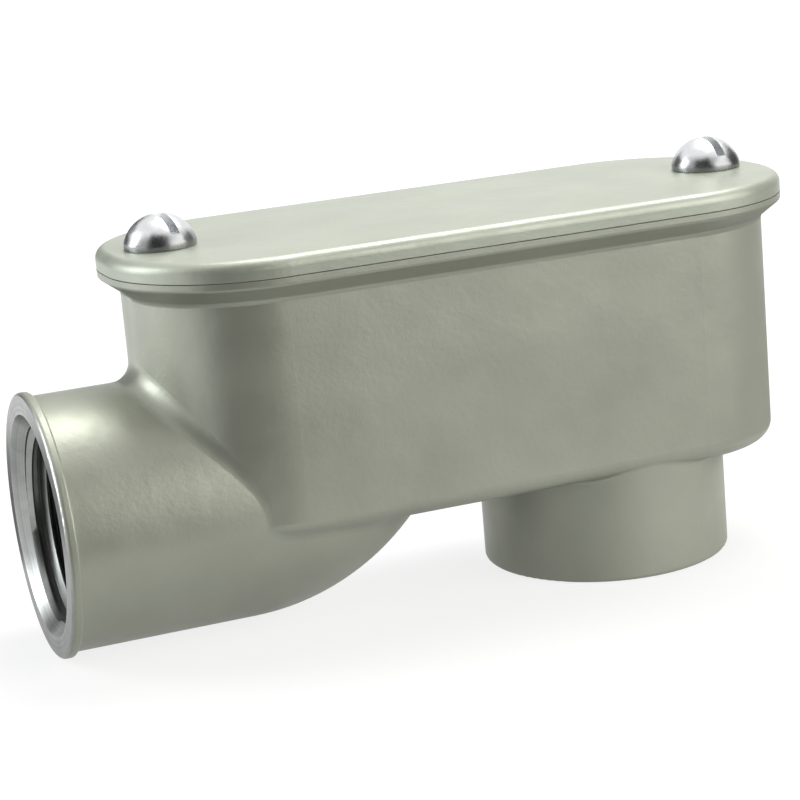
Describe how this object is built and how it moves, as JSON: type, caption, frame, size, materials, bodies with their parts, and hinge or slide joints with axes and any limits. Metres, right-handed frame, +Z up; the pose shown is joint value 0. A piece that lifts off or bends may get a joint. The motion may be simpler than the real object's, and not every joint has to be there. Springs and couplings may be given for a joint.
{
  "type": "conduit body",
  "caption": "L-shaped cast conduit body with a threaded hub at one end, a threaded hub underneath and a screwed-on gasketed cover over its wiring chamber.",
  "frame": {"origin": "middle of the footprint, level with the back hub's mouth", "axes": "+X from the end hub towards the back hub end, +Z up through the cover, +Y across"},
  "size_m": [0.1092, 0.0414, 0.057],
  "materials": {
    "cast_body": "satin grey paint over a die casting, machined bare inside the hub mouths",
    "cast_cover": "satin grey paint over a die casting",
    "gasket": "matt neoprene sheet",
    "screws": "bright zinc plate"
  },
  "bodies": {
    "body": {"casting": "cast_body"},
    "lid": {"cover": "cast_cover", "gasket": "gasket"},
    "screw_left": {"left_screw": "screws"},
    "screw_right": {"right_screw": "screws"}
  },
  "joints": [
    {"name": "cover_lift", "type": "slide", "parent": "body", "child": "lid", "axis": [0, 0, 1], "range_m": [0, 0.04]},
    {"name": "left_screw_turn", "type": "hinge", "parent": "lid", "child": "screw_left", "pos_m": [-0.03392, 0, 0.0525], "axis": [0, 0, 1], "range_deg": [0, 3330]},
    {"name": "right_screw_turn", "type": "hinge", "parent": "lid", "child": "screw_right", "pos_m": [0.04657, 0, 0.0525], "axis": [0, 0, 1], "range_deg": [0, 3330]}
  ]
}
